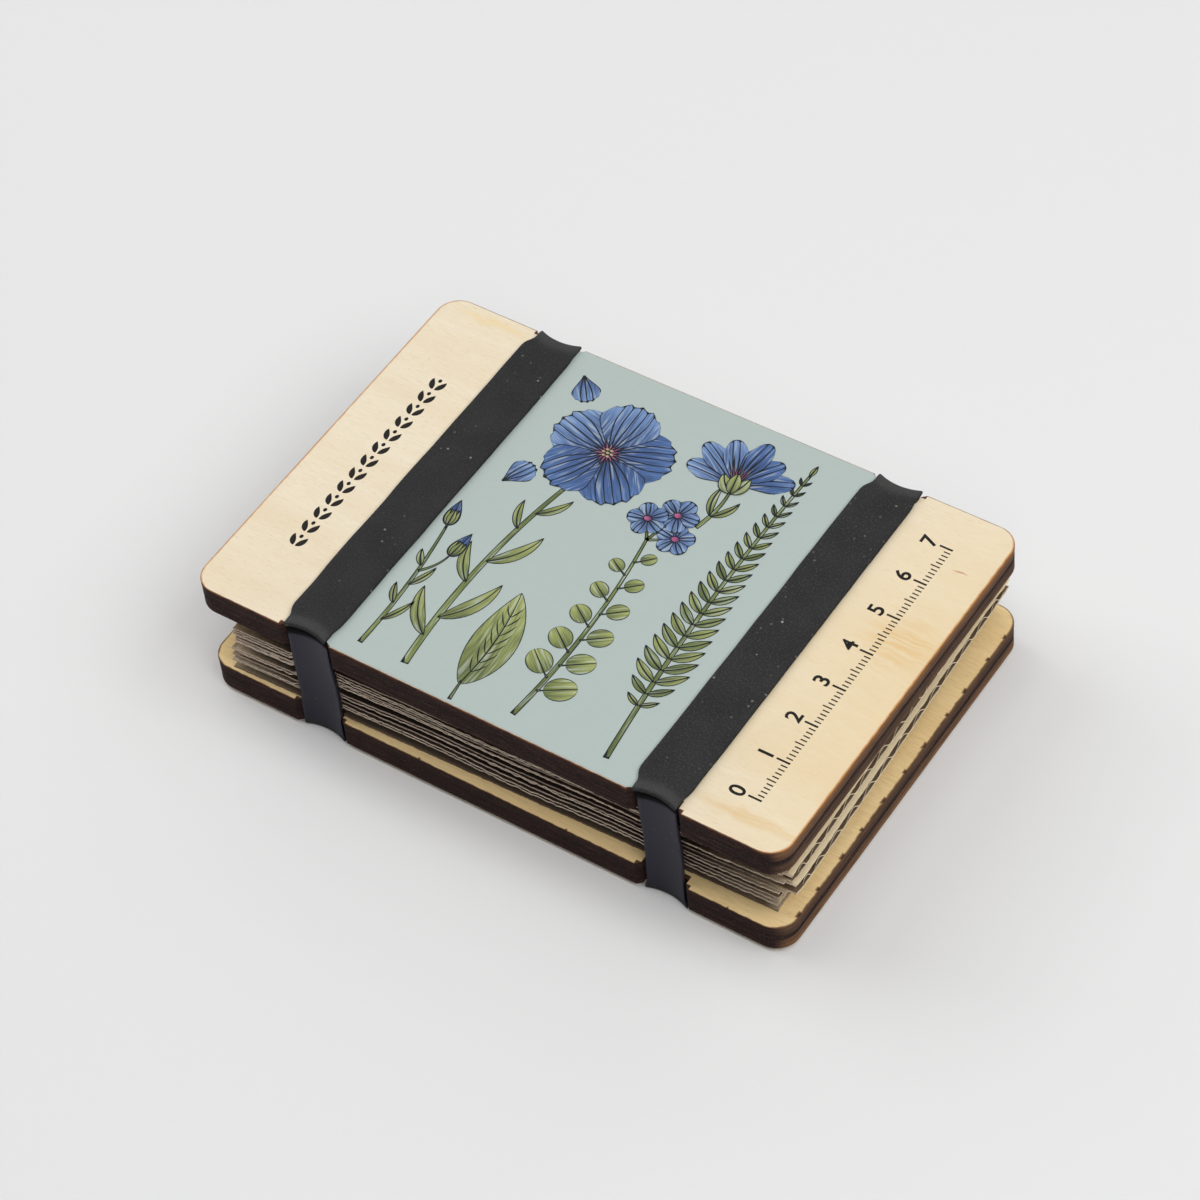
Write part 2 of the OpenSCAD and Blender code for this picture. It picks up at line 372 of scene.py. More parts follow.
top_wood, top_colour = birch("top_board_face", colour(241, 231, 210), colour(235, 219, 190),
                             colour(224, 202, 164), 3.1)
top_figured = stained(top_wood, top_colour, (0.085, 0), (0.075, 0.085), colour(231, 206, 158), 0.78, 0.2)
for mark in (((0.058, -0.0395), (0.017, 0.0022), colour(222, 184, 118), 0.6, 0.5),
             ((0.061, 0.010), (0.011, 0.009), colour(228, 186, 120), 0.6, 1.0),
             ((0.0615, 0.031), (0.0024, 0.0004), colour(196, 122, 60), 0.9, 0.2),
             ((-0.055, 0.0425), (0.012, 0.0016), colour(236, 208, 146), 0.7, 0.4)):
    top_figured = stained(top_wood, top_figured, *mark)
low_wood, low_colour = birch("bottom_board_face", colour(250, 225, 172), colour(243, 212, 153),
                             colour(210, 176, 127), 8.4)
back_wood, back_colour = birch("board_backs", colour(234, 216, 178), colour(224, 200, 155),
                               colour(205, 176, 128), 5.7)
scorched(top_wood, top_figured, tan_tone=colour(200, 140, 78), ragged=0.07, nibs=False)
scorched(low_wood, low_colour, tan_tone=colour(128, 92, 58), ragged=0.15, nibs=True)
scorched(back_wood, back_colour, tan_tone=colour(128, 92, 58), ragged=0.15, nibs=False)
edge_skins = {
    "outer_ply": charred("char_outer", colour(138, 100, 70), colour(50, 31, 29), 1.3),
    "outer_crossply": charred("char_outer_cross", colour(112, 82, 60), colour(43, 28, 27), 2.9),
    "core_ply": charred("char_core", colour(38, 27, 24), colour(37, 24, 24), 4.1),
    "inner_crossply": charred("char_inner_cross", colour(86, 65, 52), colour(41, 27, 26), 6.3),
    "inner_ply": charred("char_inner", colour(104, 78, 58), colour(46, 30, 28), 7.7)}
ply_slots = {"outer_ply": "birch_face", "inner_ply": "birch_face", "core_ply": "birch_core"}
for kind, edge_skin in edge_skins.items():
    slot = ply_slots.get(kind, "birch_crossply")
    facing = {"outer_ply": 1, "inner_ply": -1}.get(kind, 0)
    ply("top_board", kind, facing, top_wood if facing == 1 else back_wood, edge_skin, slot)
    ply("bottom_board", kind, -facing, low_wood if facing == -1 else back_wood, edge_skin, slot)


# Printed panel: a pale grey-green ink laid straight on the wood between the bands. It
# stops just short of the charred edge, and the grain stays faintly visible in it.
ink_margin, ink_overlap = 0.17 * mm, 0.1 * mm    # back from the char; on towards the bands
bm = solid_of("printed_panel")
for v in bm.verts:
    out = sum((f.normal for f in v.link_faces if abs(f.normal.z) < 0.5), Vector())
    v.co.x += out.x * (ink_overlap if abs(v.co.x) > notch_x - notch_w / 2 - 0.5 * mm else -ink_margin)
    v.co.y -= out.y * ink_margin
ink = shader("panel_ink")
fibre = cloudy(ink, laid(ink, place_of(ink), scale=(240, 4200, 4200)), 1.0, 3.0)
tinted = mix(ink, ramp(ink, fibre, 0.3, 0.75), colour(179, 191, 187), colour(176, 188, 184))
dress(ink, 0.6, 0.25, tinted, fibre, 0.08, 0.01 * mm)
shaped(bm, "panel_print", "top_board", "panel_ink", [ink], "printed_panel")


# Printed plants: studies of a fern, blue flowers, a bell and a round-leaved sprig, drawn in
# coloured inks on the panel. Each stroke is a thin closed patch, and lies a hair above the last.
ink_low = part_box("printed_panel")[1].z
ink_step, ink_thick = 0.012 * mm, 0.01 * mm
green, moss, lime = colour(126, 138, 78), colour(98, 110, 60), colour(168, 176, 108)
blue, deep_blue, sky_blue = colour(80, 112, 164), colour(54, 74, 122), colour(118, 148, 194)
plum, pink, cream = colour(120, 54, 104), colour(196, 104, 150), colour(214, 196, 132)


def art():
    """An empty bmesh with what the inks need: a tone, how far an outline is, and a place on the stroke."""
    bm = bmesh.new()
    bm.verts.layers.float_color.new("tone")
    bm.verts.layers.float.new("edge")
    bm.verts.layers.float_vector.new("lie")
    return bm


def toward(way):
    """One step in the plane of the panel, by its angle."""
    return Vector((cos(way), sin(way)))


def spine(root, turn, length, bend, t):
    """A point part of the way along a bent stroke, and the way it runs there."""
    start, now = radians(turn), radians(turn + bend * t)
    if abs(bend) < 0.5:
        return root + length * t * toward(start), now
    swing = length / radians(bend)
    return root + swing * Vector((sin(now) - sin(start), cos(start) - cos(now))), now


def thicken(bm, faces, thickness):
    """Gives flat faces a thickness, upwards."""
    for v in bmesh.ops.extrude_face_region(bm, geom=faces)["geom"]:
        if isinstance(v, bmesh.types.BMVert):
            v.co.z += thickness


outlines = {"leaf": lambda t: sin(pi * t ** 0.85) ** 0.8,
            "petal": lambda t: 0.08 + 0.92 * sin(pi / 2 * min(1, t / 0.75)) ** 1.3,
            "stem": lambda t: 1 - 0.45 * t, "round": lambda t: 2 * sqrt(t * (1 - t)),
            "drop": lambda t: sin(pi * t ** 0.6) ** 0.9}


def stroke(bm, root, turn, length, width, bend=0, kind="leaf", tones=(moss, green), level=0, cells=(12, 6),
           ribs=(0,), frill=0):
    """Draws one leaf, petal or stem: a bent patch with an outline, dark ribs, and two tones along it."""
    tone, lie = bm.verts.layers.float_color["tone"], bm.verts.layers.float_vector["lie"]
    edge = bm.verts.layers.float["edge"]
    made = bmesh.ops.create_grid(bm, x_segments=cells[0], y_segments=cells[1], size=0.5)["verts"]
    for v in made:
        t, s = 0.5 - 0.5 * cos(pi * (v.co.x + 0.5)), 2 * v.co.y
        if kind == "stem":
            t = v.co.x + 0.5
        half = outlines[kind](t) * width / 2
        rim = (1 - abs(s)) * half
        if kind in ("stem", "petal"):
            rim = min(rim, length * t + 0.1 * mm, length * (1 - t))
        round_tip = 1 - 0.32 * abs(s) ** 2.6 * t ** 2 if kind == "petal" else 1
        at, way = spine(root, turn, length, bend, t * round_tip)
        at = at + Vector((-sin(way), cos(way))) * s * half
        at = at + toward(way) * frill * cos(5 * pi * s) * t ** 4
        for rib in () if kind == "stem" else ribs:
            rim = min(rim, abs(s - rib) * half + 0.05 * mm + 0.14 * mm * max(0, t - 0.55))
        v[edge] = rim * 1000
        v[tone] = [a + (b - a) * t for a, b in zip(*tones)]
        v[lie] = (t * length * 1000, s * half * 1000, turn * 0.37 + root.x * 700)
        v.co = (at.x, at.y, ink_low + level * ink_step)
    thicken(bm, list({f for v in made for f in v.link_faces}), ink_thick)


def branch(bm, path, t, hand, lean, bend, length, width, tones=(moss, lime), level=1, **more):
    """Draws a stroke that grows out of a bent stem, to its left or right."""
    where, way = spine(t=t, **path)
    stroke(bm, where, way * 180 / pi + hand * lean, length, width, bend=-hand * bend, tones=tones,
           level=level, **more)


inks = shader("plant_inks")
hatch = cloudy(inks, laid(inks, told(inks, "lie", "Vector"), scale=(0.16, 2.2, 1)), 1.0, 2.0)
shaded = mix(inks, ramp(inks, hatch, 0.52, 0.66, 0.0, 0.5), told(inks, "tone", "Color"), colour(44, 54, 72))
glint = mix(inks, ramp(inks, hatch, 0.46, 0.32, 0.0, 0.45), shaded, colour(196, 206, 206))
line = ramp(inks, told(inks, "edge"), 0.17, 0.24, 1.0, 0.0)
dress(inks, 0.6, 0.25, mix(inks, line, glint, colour(26, 30, 34)))


def at(x, y):
    return Vector((x, y)) * mm


# The fern: a long frond of paired leaflets that get shorter towards its tip
bm = art()
frond = dict(root=at(27, -41), turn=97, length=80 * mm, bend=-9)
stroke(bm, width=1.3 * mm, kind="stem", cells=(40, 2), **frond)
pairs = 21
for k in range(pairs):
    t = 0.17 + 0.82 * k / pairs
    reach = (7.6 - 5.6 * (k / pairs) ** 1.5) * mm * min(1, 0.55 + k * 0.2)
    for hand in (1, -1):
        branch(bm, frond, t, hand, 68 - 22 * k / pairs, 24, reach, reach * 0.34,
               tones=(moss, green if k % 2 else lime), level=1 + k % 2, cells=(10, 4))
stroke(bm, spine(t=0.985, **frond)[0], 88, 3.4 * mm, 1.3 * mm, tones=(green, lime), level=3, cells=(10, 4))
shaped(bm, "print_fern", "top_board", "panel_ink", [inks])

# The open flower: five broad frilled petals round a ring of stamens, on a leafy stem
bm = art()
stem = dict(root=at(-19, -41), turn=97, length=63 * mm, bend=-22)
stroke(bm, width=1.7 * mm, kind="stem", tones=(green, moss), cells=(40, 2), **stem)
for t, hand, reach in ((0.12, 1, 13), (0.2, -1, 15), (0.36, 1, 11),
                       (0.46, -1, 13), (0.62, 1, 8), (0.7, -1, 8.5)):
    branch(bm, stem, t, hand, 52, 46, reach * mm, reach * 0.24 * mm, cells=(18, 6))
head = spine(t=1, **stem)[0] + at(0, 2)
for k in range(5):
    turn = 20 + k * 72
    stroke(bm, head, turn + 36, 6.5 * mm, 3 * mm, tones=(moss, lime), level=1, cells=(10, 4))
for k, order in enumerate((0, 2, 4, 1, 3)):
    turn = 20 + order * 72
    stroke(bm, head, turn, 13.6 * mm, 13.4 * mm, kind="petal", tones=(deep_blue, sky_blue if k % 2 else blue),
           level=2 + k, cells=(22, 16), ribs=(-0.5, -0.25, 0, 0.25, 0.5), frill=0.4 * mm)
for k in range(15):
    turn = k * 24 + 7
    stroke(bm, head, turn, (3.1 + 0.5 * (k % 3)) * mm, 0.7 * mm, kind="drop", tones=(plum, pink),
           level=8 + k % 3, cells=(8, 2), ribs=())
for k in range(7):
    where = head + (at(0, 0) if k == 6 else 0.95 * mm * toward(k * pi / 3))
    stroke(bm, where - at(0.5, 0), 0, 1 * mm, 1 * mm, kind="round", tones=(cream, plum), level=12 + k % 2,
           cells=(6, 4), ribs=())
shaped(bm, "print_open_flower", "top_board", "panel_ink", [inks])

# A single broad leaf: a midrib with paired side veins, each vein a dark stroke of its own
bm = art()
broad = dict(root=at(-7, -40), turn=84, length=25 * mm, bend=22)
stroke(bm, width=9.5 * mm, tones=(moss, lime), cells=(30, 10), **broad)
stroke(bm, at(-6.5, -44), 96, 5 * mm, 0.9 * mm, kind="stem", tones=(moss, moss), level=1, cells=(6, 2))
for k in range(7):
    reach = (4.6 - 0.09 * (k - 2.5) ** 2) * mm
    for hand in (1, -1):
        branch(bm, broad, 0.14 + 0.1 * k, hand, 42, 26, reach, 0.3 * mm, tones=(moss, green), level=2,
               cells=(8, 2))
shaped(bm, "print_broad_leaf", "top_board", "panel_ink", [inks])

# The sprig: round leaves set left and right, and three small flowers at its top
bm = art()
sprig = dict(root=at(6, -41), turn=84, length=50 * mm, bend=16)
stroke(bm, width=1.3 * mm, kind="stem", cells=(36, 2), **sprig)
for k in range(11):
    hand = 1 if k % 2 else -1
    where, way = spine(t=0.14 + 0.072 * k, **sprig)
    size = (6.6 - 0.32 * k) * mm
    branch(bm, sprig, 0.14 + 0.072 * k, hand, 58, 0, 1.6 * mm, 0.6 * mm, tones=(moss, moss), kind="stem",
           cells=(4, 2))
    stroke(bm, where + 1.4 * mm * toward(way + hand * 1.01), way * 180 / pi + hand * 54, size, size * 0.86,
           kind="round", tones=(moss, lime), level=2 + k % 2, cells=(14, 8))
for turn, reach, bloom in ((120, 5.5, 4.3), (76, 8.5, 4.6), (30, 5.6, 4.1)):
    where, way = spine(t=0.985, **sprig)
    stroke(bm, where, turn, reach * mm, 0.8 * mm, kind="stem", level=1, cells=(8, 2))
    centre = where + reach * mm * toward(radians(turn))
    for k in range(5):
        stroke(bm, centre, turn + 72 * k, bloom * mm, bloom * 0.9 * mm, kind="petal",
               tones=(deep_blue, sky_blue), level=3 + k, cells=(12, 8), ribs=(-0.25, 0.25))
    stroke(bm, centre - at(0.8, 0), 0, 1.6 * mm, 1.6 * mm, kind="round", tones=(pink, plum), level=9,
           cells=(8, 6), ribs=())
shaped(bm, "print_sprig", "top_board", "panel_ink", [inks])

# The bell seen from its side: a green cup, a fan of petals and stamens that stand out of it
bm = art()
bell = dict(root=at(11, 15.5), turn=72, length=13 * mm, bend=30)
stroke(bm, width=1.2 * mm, kind="stem", tones=(green, moss), cells=(16, 2), **bell)
for hand, reach in ((1, 8.5), (-1, 7)):
    branch(bm, bell, 0.3, hand, 46, 50, reach * mm, 1.9 * mm, cells=(16, 4))
head, way = spine(t=1, **bell)
up = way * 180 / pi
for k, lean_out in enumerate((62, -62, 38, -38, 14, -14)):
    stroke(bm, head, up + lean_out, (11.5 + 0.8 * (k % 3)) * mm, 5.4 * mm, bend=lean_out * 0.35, kind="petal",
           tones=(deep_blue, blue if k % 2 else sky_blue), level=2 + k, cells=(18, 8), ribs=(-0.25, 0.25))
for k in range(7):
    stroke(bm, head, up + (k - 3) * 9, (7.4 + k % 2) * mm, 0.55 * mm, kind="drop", tones=(plum, pink),
           level=9 + k % 2, cells=(8, 2), ribs=())
for k, lean_out in enumerate((-46, 46, 0)):
    stroke(bm, head - 2.2 * mm * toward(way), up + lean_out, 5.6 * mm, 3 * mm, bend=-lean_out * 0.7,
           tones=(moss, lime), level=12 + k, cells=(12, 4))
shaped(bm, "print_bell", "top_board", "panel_ink", [inks])

# The young shoot: two closed buds over narrow leaves, with two loose petals above
bm = art()
shoot = dict(root=at(-29.5, -41), turn=88, length=33 * mm, bend=12)
stroke(bm, width=1.2 * mm, kind="stem", tones=(green, moss), cells=(24, 2), **shoot)
for t, hand, reach in ((0.2, -1, 8), (0.34, 1, 5.6), (0.5, -1, 7), (0.66, 1, 4.6)):
    branch(bm, shoot, t, hand, 40, 30, reach * mm, 1.7 * mm, cells=(14, 4))
where, way = spine(t=0.62, **shoot)
stroke(bm, where, 42, 7 * mm, 0.8 * mm, bend=40, kind="stem", tones=(green, moss), level=1, cells=(8, 2))
for tip, turn in ((spine(t=1, **shoot)[0], 100), (spine(where, 42, 7 * mm, 40, 1)[0], 84)):
    stroke(bm, tip, turn, 7.2 * mm, 3.4 * mm, kind="drop", tones=(blue, deep_blue), level=2, cells=(14, 6))
    for lean_out in (-20, 20, 0):
        stroke(bm, tip, turn + lean_out, 4.6 * mm, 1.9 * mm, bend=-lean_out, tones=(moss, lime),
               level=4 if lean_out else 5, cells=(10, 4))
for x, y, turn in ((-29, 7, 62), (-30.5, 39, -52)):
    stroke(bm, at(x, y), turn, 7.5 * mm, 6 * mm, kind="petal", tones=(deep_blue, sky_blue), level=1,
           cells=(16, 10), ribs=(-0.4, 0, 0.4), frill=0.2 * mm)
shaped(bm, "print_shoot", "top_board", "panel_ink", [inks])


# Printed rule and border: plain black print on the bare wood outside the bands. The right
# end has a rule in centimetres that can size a flower, and the left end a row of leaves.
tab_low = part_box("top_board_outer_ply")[1].z
black = shader("black_ink")
soak = cloudy(black, place_of(black), 1900.0, 2.0)
dress(black, 0.65, 0.2, mix(black, soak, colour(22, 20, 19), colour(40, 36, 33)))
rule_x, rule_low, rule_cm = 57.4 * mm, -35 * mm, 7
tick_l = (2.9 * mm, 1.4 * mm, 2 * mm)       # a whole centimetre, a millimetre, five millimetres
tick_w, bold_tick = 0.3 * mm, 1.5
digit_size, digit_bold, digit_gap = 4.6 * mm, 0.1 * mm, 0.8 * mm
border_x, border_low, border_high, border_pairs = -55.3 * mm, -28 * mm, 24 * mm, 13

bm = bmesh.new()
for k in range(rule_cm * 10 + 1):
    long = tick_l[0] if k % 10 == 0 else tick_l[2] if k % 5 == 0 else tick_l[1]
    wide = tick_w * (bold_tick if k % 10 == 0 else 1)
    tick = Matrix.Translation((rule_x - long / 2, rule_low + k * mm, 0)) @ Matrix.Diagonal((long, wide, 1, 1))
    bmesh.ops.create_grid(bm, x_segments=2, y_segments=1, size=0.5, matrix=tick)
for k in range(rule_cm + 1):
    text = bpy.data.curves.new("digit", "FONT")
    text.body = str(k)
    text.size = digit_size
    text.align_x = "CENTER"
    text.offset = digit_bold
    digit = placed("digit", text)
    bpy.context.view_layer.update()
    flat = bpy.data.meshes.new_from_object(digit.evaluated_get(bpy.context.evaluated_depsgraph_get()))
    flat.transform(Matrix.Translation((rule_x - tick_l[0] - digit_gap, rule_low + k * 10 * mm, 0))
                   @ Matrix.Rotation(pi / 2, 4, "Z"))
    bm.from_mesh(flat)
    bpy.data.objects.remove(digit)
bmesh.ops.remove_doubles(bm, verts=bm.verts, dist=0.0005 * mm)
for v in bm.verts:
    v.co.z = tab_low
thicken(bm, bm.faces[:], ink_thick)
bmesh.ops.recalc_face_normals(bm, faces=bm.faces)
shaped(bm, "print_rule", "top_board", "panel_ink", [black])

bm = art()
for k in range(border_pairs):
    y = border_low + (border_high - border_low) * (k + 0.2) / border_pairs
    for hand in (1, -1):
        root = Vector((border_x + hand * 0.25 * mm, y))
        stroke(bm, root, 90 - hand * 42, 3.1 * mm, 1.25 * mm, bend=hand * 34, cells=(10, 4))
    stroke(bm, Vector((border_x, y + 2.1 * mm)), 90, 1 * mm, 0.8 * mm, kind="round", cells=(8, 4))
bmesh.ops.translate(bm, verts=bm.verts, vec=(0, 0, tab_low - ink_low))
shaped(bm, "print_border", "top_board", "panel_ink", [black])


# Rubber bands: two flat black loops cut from sheet rubber, stretched round the closed
# press. Each is drawn in and folded hard over the edges, where it sits in the notches.
band_nodes = {
    "left_band": dict(seed=2.0, shift=-0.35 * mm, side_w=9.7 * mm, side_at=(0.1 * mm, 0.55 * mm, 0),
                      mid_wide=0.35 * mm, dust=0.3, stray=0.2 * mm),
    "right_band": dict(seed=9.0, shift=-0.3 * mm, side_w=8.8 * mm, side_at=(0.1 * mm, 0.5 * mm, 0.35 * mm),
                       mid_wide=0, dust=1.0, stray=0.16 * mm)}
band_w, fold_w = 11.5 * mm, 9.8 * mm        # flat on the boards, and across the folds that fill the notches
band_thick = 1.0 * mm
flat_thin = 0.12 * mm       # a stretched run is thinner than the fold that stands up at its end
notch_r_out = 11.6 * mm     # arch of the band's outer side, round a centre outside the board
notch_centre = 55.1 * mm
arch_half = 5.6 * mm        # half the width that the arch takes
fold_r, edge_r = 0.7 * mm, 0.3 * mm
taper_l = 4 * mm            # where a flat run narrows towards its fold
fold_l = 2.2 * mm           # how much of a flat run the fold lifts and rubs
lip_out = 0.6 * mm          # the fold stands out over the upright run, with a dark crease under it
# the crease is also painted near black in the rubber, as painted shade under the lip
crease_depth, crease_low, crease_fade = 0.6 * mm, 1.8 * mm, 0.8 * mm
slack_low, slack_high = (6 * mm, 10 * mm), (19 * mm, 25 * mm)    # the free middle of an upright run
merge = 0.002 * mm


def smooth(low, high, x):
    t = min(1, max(0, (x - low) / (high - low)))
    return t * t * (3 - 2 * t)


def rubber(name, dust, seed):
    """Black rubber with a faint bloom, pale dust and rubbed folds, and painted shade: bluish on its upright
    runs, darker towards their bottom, and near black in the crease under each fold.
    """
    made = shader(name)
    place = place_of(made)
    spot = add(made, "SeparateXYZ", {0: place})
    lie = laid(made, place, (seed, seed, seed))
    bloom = ramp(made, cloudy(made, lie, 130.0, 4.0), 0.35, 0.75)
    fine = cloudy(made, lie, 2600.0, 2.0)
    flour = ramp(made, fine, 0.5, 0.85, 0.0, 0.07 + 0.05 * dust)
    cell = add(made, "TexVoronoi", {"Vector": lie, "Scale": 750.0})
    few = add(made, "SeparateColor", {0: cell.outputs["Color"]}).outputs[0]
    chosen = ramp(made, few, 0.94 - 0.2 * dust, 0.96)
    landed = sums(made, "MAXIMUM", ramp(made, cloudy(made, lie, 60.0, 2.0), 0.4, 0.65),
                  ramp(made, spot.outputs["Y"], -36 * mm, -41 * mm, 0.0, 0.9 * dust))
    specks = sums(made, "MULTIPLY", sums(made, "MULTIPLY", chosen, landed),
                  ramp(made, cell.outputs["Distance"], 0.12, 0.24, 1.0, 0.0))
    worn = sums(made, "MULTIPLY", told(made, "rubbed"), 0.25)
    upright, crease_shade = told(made, "upright"), told(made, "crease")
    # painted shade on the upright runs: bluish, and darker towards the bottom
    painted_upright_shade = mix(made, ramp(made, spot.outputs["Z"], 4 * mm, 26 * mm), colour(16, 12, 38), colour(35, 31, 50))
    tone = colour(33, 33, 35)
    for share, shade in ((bloom, colour(42, 42, 42)), (flour, colour(150, 150, 144)),
                         (specks, colour(160, 160, 150)), (worn, colour(98, 98, 96)),
                         (sums(made, "MULTIPLY", upright, 0.85), painted_upright_shade), (crease_shade, colour(5, 4, 6))):
        tone = mix(made, share, tone, shade)
    gloss = ramp(made, upright, 0.0, 1.0, 0.66, 0.5)
    sheen = sums(made, "MULTIPLY_ADD", crease_shade, 0.5, gloss)
    return dress(made, sheen, 0.25, tone, fine, 0.15, 0.03 * mm)


# Round the cross-section: how far across, and how deep under the outer side
flat_steps, edge_steps = 16, 4
section = [(2 * k / flat_steps - 1, 0, 0) for k in range(flat_steps + 1)]
section += [(1, sin(pi * k / edge_steps), 1 - cos(pi * k / edge_steps)) for k in range(1, edge_steps)]
section += [(1 - 2 * k / flat_steps, 0, 2) for k in range(flat_steps + 1)]
section += [(-1, -sin(pi * k / edge_steps), 1 + cos(pi * k / edge_steps)) for k in range(1, edge_steps)]
# Along half the loop, from the middle of the upper run over the near edge to the lower run
run_steps, fold_steps, side_steps = 40, 8, 48
legs = ([("upper", (k / run_steps) ** 0.7) for k in range(run_steps)]
        + [("over", k / fold_steps) for k in range(fold_steps)]
        + [("side", 0.5 - 0.5 * cos(pi * k / side_steps)) for k in range(side_steps)]
        + [("under", k / fold_steps) for k in range(fold_steps)]
        + [("lower", 1 - (1 - k / run_steps) ** 0.7) for k in range(run_steps + 1)])
press_h = max(p[2] for p in cad_box)

for node, b in band_nodes.items():
    low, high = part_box(node)
    middle = (low.x + high.x) / 2
    bm = bmesh.new()
    bmesh.ops.create_grid(bm, x_segments=len(section), y_segments=len(legs) - 1, size=0.5)
    rubbed = bm.verts.layers.float.new("rubbed")
    upright = bm.verts.layers.float.new("upright")
    crease = bm.verts.layers.float.new("crease")
    for v in bm.verts:
        across, bulge, deep = section[round((v.co.x + 0.5) * len(section)) % len(section)]
        leg, t = legs[round((v.co.y + 0.5) * (len(legs) - 1))]
        depth = band_thick * deep / 2
        half, at_x = fold_w / 2, b["side_at"][0 if leg in ("upper", "over") else 2]
        if leg in ("upper", "lower"):
            away = (1 - t if leg == "upper" else t) * board_w / 2
            flat = smooth(0, taper_l, away - 0.8 * mm)
            half += (band_w - fold_w) / 2 * flat
            at_x += (b["shift"] - at_x) * flat
        elif leg == "side":
            level = press_h * (1 - t)
            half += (b["side_w"] - fold_w) / 2 * smooth(0, 2.5 * mm, min(level, press_h - level))
            free = smooth(*slack_low, level) * (1 - smooth(*slack_high, level))
            half += b["mid_wide"] * free
            at_x = b["side_at"][2 if level < press_h / 2 else 0]
            sway = free if level < press_h / 2 else 1 - smooth(16 * mm, 26 * mm, level)
            at_x += (b["side_at"][1] - at_x) * sway
        x = at_x + across * (half - edge_r) + bulge * edge_r
        arch = notch_centre - sqrt(notch_r_out ** 2 - min(abs(x), arch_half) ** 2)
        bend = max(fold_r - depth, 0.02 * mm)
        out_y = arch - depth
        straight_y, straight_z = out_y - bend, press_h - depth - bend
        if leg == "upper":
            y, z = straight_y * t, press_h - depth
            if deep < 1:
                z -= flat_thin * smooth(0.3 * mm, fold_l, straight_y * (1 - t)) * (1 - deep)
                v[rubbed] = 1 - smooth(0.1 * mm, fold_l, straight_y * (1 - t))
        elif leg == "over":
            y, z = straight_y + bend * sin(t * pi / 2), straight_z + bend * cos(t * pi / 2)
            y += lip_out * sin(t * pi / 2)
            if deep < 1:
                v[rubbed] = 1 - smooth(0.3, 0.8, t)
        elif leg == "side":
            y, z = out_y, straight_z + (depth + bend - straight_z) * t
            from_fold = min(straight_z - z, z - depth - bend)
            if z > press_h / 2:
                under_lip = smooth(0.1 * mm, 0.5 * mm, from_fold)
                y += lip_out * (1 - under_lip)
                y -= crease_depth * under_lip * (1 - smooth(0.7 * mm, crease_low, from_fold))
            if deep < 1:
                v[upright] = smooth(0.2 * mm, 1.2 * mm, from_fold)
                fades = (2.2 - 0.4 * across) * mm
                # painted shade: colours the rubber near black along the crease under the upper fold
                painted_crease = smooth(0.05 * mm, 0.25 * mm, from_fold)
                painted_crease *= 1 - smooth(fades, fades + crease_fade, from_fold)
                v[crease] = painted_crease if z > press_h / 2 else 0
        elif leg == "under":
            y, z = straight_y + bend * cos(t * pi / 2), depth + bend - bend * sin(t * pi / 2)
        else:
            y, z = straight_y * (1 - t), depth
        v.co = (x, -min(y, board_w / 2), z)
    bmesh.ops.remove_doubles(bm, verts=bm.verts, dist=merge)
    bmesh.ops.mirror(bm, geom=bm.verts[:] + bm.edges[:] + bm.faces[:], axis="Y", merge_dist=merge)
    bmesh.ops.remove_doubles(bm, verts=bm.verts, dist=merge)
    bmesh.ops.recalc_face_normals(bm, faces=bm.faces)
    for v in bm.verts:
        x, y, z = v.co
        along = Vector((b["seed"], y / (14 * mm), z / (9 * mm)))
        free = smooth(4 * mm, 10 * mm, z) * (1 - smooth(22 * mm, 28 * mm, z))
        flat = 1 - smooth(40 * mm, 42.5 * mm, abs(y))
        wander = noise.noise(along) * b["stray"] * max(free, flat)
        ripple = noise.noise(along * 2.3 + Vector((5, 0, 0))) * b["stray"] * (0.5 * flat + free)
        v.co.x = middle + x + wander + ripple * x / (band_w / 2)
    skins = [rubber(node + "_rubber", b["dust"], b["seed"])]
    piece = shaped(bm, node + "_rubber", None, "band_rubber", skins, node, sharp=50)
    stack_low, stack_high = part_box("bottom_board_inner_ply")[1].z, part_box("top_board_inner_ply")[0].z
    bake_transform(piece, "bottom_board", "top_board", start=(0, 0, stack_low), end=(0, 0, stack_high))


# Corrugated cards: two grey kraft liners with wavy paper glued between them. They were
# cut by hand, so their sides are crushed and fuzzy, and their open ends show pale.
card_count = sum(name.endswith("_flutes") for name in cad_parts)
leaves = sorted((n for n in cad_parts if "liner" in n or "sheet" in n), key=lambda n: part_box(n)[0].z)
leaf_low = [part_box(n)[0].z for n in leaves]
leaf_high = [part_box(n)[1].z for n in leaves]
rest_gaps = [above - below for above, below in zip(leaf_low[1:], leaf_high)]
per_card = 4                # two liners and the two sheets over them
side_share = (0.9, 0.66, 0.76, 0.3, 1.15)    # of each card's inner height left along its sides
sheet_gap = (0.4 * mm, 0.06 * mm, 0.06 * mm, 0.2 * mm)      # papers that have come apart along the sides
liner_gap = (0.3 * mm, 0.02 * mm, 0.02 * mm, 0.1 * mm)
side_from, side_to = 37.5 * mm, 42 * mm
end_from, end_to = 57 * mm, 63 * mm
medium_thick, flute_pitch = 0.3 * mm, 6.5 * mm
medium_recess = (3.4 * mm, 3 * mm, 3 * mm, 2.6 * mm, 2.2 * mm)        # wavy paper torn back from the sides
medium_reach = 9 * mm       # how far in that tear still shows
flat_crest = 1.1547         # the waves are a sine with its crests and troughs pressed flat
left_pull = (1.5 * mm, 1.3 * mm, 0.4 * mm, 0.2 * mm, 0.3 * mm)        # crumpled in at the left end
right_push = (0, 0, 0.6 * mm, 0.1 * mm, -0.1 * mm)
lump = 0.05 * mm            # fuzz along a torn edge
ring_insets = (0.3 * mm, 0.8 * mm, 1.7 * mm, 3.5 * mm, 6.5 * mm)
edge_step, edge_clear = 0.45 * mm, 0.05 * mm
wave_detail, run_detail = 14, 96
noise.seed_set(1)           # else noise_vector, and so the fuzz, would follow the clock


